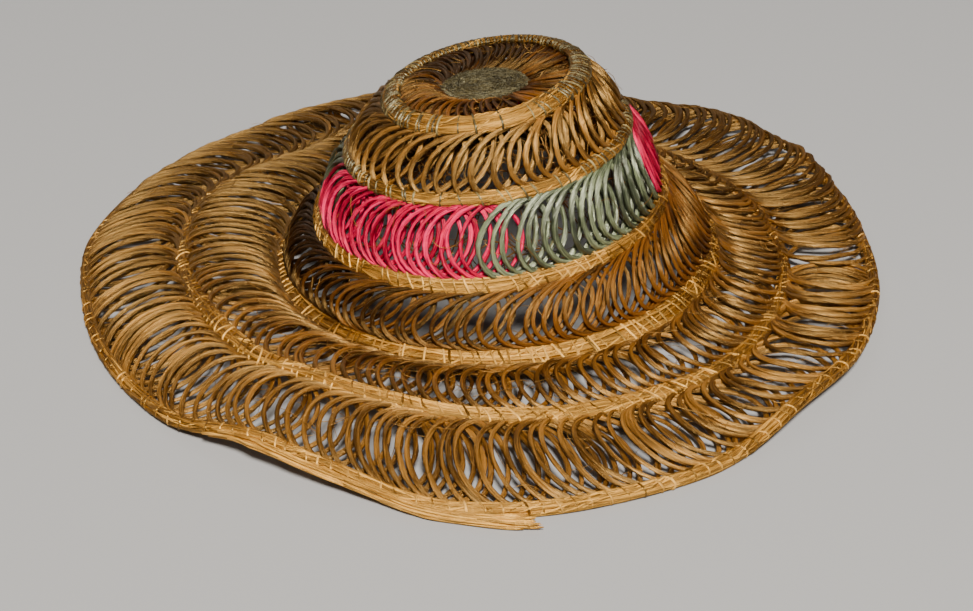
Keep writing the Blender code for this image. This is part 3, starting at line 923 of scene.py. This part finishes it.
def add_disc_fibres(strands, random):
    """Short fibres that lie round and round on the disc."""
    run = np.linspace(-0.5, 0.5, DISC_STRAND_STEPS)
    level = np.zeros(DISC_STRAND_STEPS)
    arch = rim.normal * (DISC_FIBRE_ARCH * np.cos(3 * run))[:, None]
    for number in range(DISC_FIBRES):
        azimuth = TURN * random.random()
        out = math.sqrt(random.random()) * DISC_FIBRE_REACH
        centre = rim.centre + rim_way(azimuth) * out + rim.normal * DISC_FIBRE_LEVEL
        heading = azimuth + math.pi / 2 + random.normal(0, DISC_FIBRE_TURNS)
        length = random.uniform(*DISC_FIBRE_LENGTH) * MM
        direction = heading + random.normal(0, DISC_FIBRE_BENDS) * run
        flat = np.stack([np.cos(direction) * run, np.sin(direction) * run, level], axis=-1) * length
        flat = flat - rim.normal * (flat @ rim.normal)[:, None]
        radius = random.uniform(*DISC_FIBRE_RADIUS) * MM
        tint = random.normal(*DISC_FIBRE_TINT)
        add_disc_strand(strands, centre + flat + arch, radius, tint, DISC_FIBRE_SIDES)


def add_disc_stitches(strands, random):
    """Short stitches over the disc's rim."""
    run = np.linspace(0, 1, DISC_STRAND_STEPS)[:, None]
    arch = rim.normal * (DISC_STITCH_LIFT + DISC_STITCH_ARCH * np.sin(run * DISC_STITCH_SWEEP))
    for number in range(DISC_STITCHES):
        azimuth = TURN * (number + random.normal(0, DISC_STITCH_SCATTER)) / DISC_STITCHES
        start = rim_way(azimuth)
        stop = rim_way(azimuth + DISC_STITCH_TILT)
        path = rim.centre + start * (DISC_STITCH_START - DISC_STITCH_LENGTH * run) + (stop - start) * run
        tint = random.normal(0, DISC_STITCH_TINT)
        add_disc_strand(strands, path + arch, DISC_STITCH_RADIUS, tint, DISC_STITCH_SIDES)


def make_disc():
    """The crown's felted disc, with fibres on it and a ring of short stitches round its rim."""
    random = np.random.default_rng(DISC_SEED)
    make_disc_felt(random)
    strands = Strands()
    add_disc_fibres(strands, random)
    add_disc_stitches(strands, random)
    strands.build("crown_disc_fibres", MATERIALS["sage_felt"])


def make_coil_end():
    """The edge coil's loose end: fibres that leave the coil at the front left, and fan out at their ends."""
    random = np.random.default_rng(END_SEED)
    share = np.linspace(0, 1, END_STEPS)
    strands = Strands()
    for number in range(END_FIBRES):
        begin = random.uniform(*END_BEGINS)
        end = random.uniform(*END_STOPS)
        azimuth = np.radians(begin + (end - begin) * share)
        centre, across, through = coil_frame(EDGE, azimuth)
        fan = np.clip((np.degrees(azimuth) - END_FAN_START) / END_FAN_SPAN, 0, 1) ** END_FAN_POWER
        aside = coil_half(EDGE, azimuth) + END_GAP + random.random() * (END_WIDTH + END_FAN_WIDTH * fan)
        aside = aside * np.clip(share * END_LEAVING, END_INSIDE, 1)
        level = random.uniform(*END_LEVELS) * MM * (1 - END_FLATTENING * fan) - END_SAG * fan
        wander = drift(random, share, END_WANDER, END_KNOTS)
        path = centre + across * (aside + wander)[:, None] + through * (level + wander / 2)[:, None]
        path[:, 2] = np.maximum(path[:, 2], END_LOWEST)
        radius = random.uniform(*END_RADIUS) * MM * np.clip((1 - share) * END_TAPER + END_TIP, 0, 1)
        strands.add(path, through, radius, np.full(END_STEPS, random.normal(*END_TINT)), END_SIDES)
    straw = MATERIALS["coil_straw"]
    strands.build("brim_edge_coil_end_fibres", straw, ("brim_edge_coil_end",))


def make_floor():
    bpy.ops.mesh.primitive_plane_add(size=FLOOR_SIZE, location=(0, 0, 0))
    floor = bpy.context.object
    floor.name = "floor"
    material, shader = new_material("floor_paper", FLOOR_ROUGHNESS)
    shader.inputs["Base Color"].default_value = (*FLOOR_COLOUR, 1)
    floor.data.materials.append(material)


def make_lamp(lamp):
    data = bpy.data.lights.new(lamp.name, "AREA")
    data.shape = "DISK"
    data.size = lamp.size
    data.energy = lamp.power
    data.color = lamp.colour
    light = bpy.data.objects.new(lamp.name, data)
    light.location = lamp.place
    aim = Vector(lamp.target) - Vector(lamp.place)
    light.rotation_euler = aim.to_track_quat("-Z", "Y").to_euler()
    bpy.context.scene.collection.objects.link(light)


def make_sky():
    world = bpy.data.worlds.new("world")
    world.use_nodes = True
    background = world.node_tree.nodes["Background"]
    background.inputs["Color"].default_value = (1, 1, 1, 1)
    background.inputs["Strength"].default_value = SKY_STRENGTH
    bpy.context.scene.world = world


def make_camera():
    data = bpy.data.cameras.new("camera")
    data.lens = LENS_MM
    data.sensor_width = SENSOR_MM
    camera = bpy.data.objects.new("camera", data)
    tilt = math.radians(CAMERA_ELEVATION)
    camera.location = HAT_MIDDLE + CAMERA_DISTANCE * Vector((0, -math.cos(tilt), math.sin(tilt)))
    camera.rotation_euler = (HAT_MIDDLE - camera.location).to_track_quat("-Z", "Y").to_euler()
    bpy.context.scene.collection.objects.link(camera)
    bpy.context.scene.camera = camera


make_camera()
for number, row in enumerate(ROWS):
    make_loops(row, LOOPS_SEED + number)
for index in range(len(COILS)):
    make_coil(index, COILS_SEED + index)
    make_stitches(index, STITCHES_SEED + index)
make_disc()
make_coil_end()
for number, strays in enumerate(STRAYS):
    make_strays(strays, STRAYS_SEED + number)
make_floor()
for lamp in LAMPS:
    make_lamp(lamp)
make_sky()
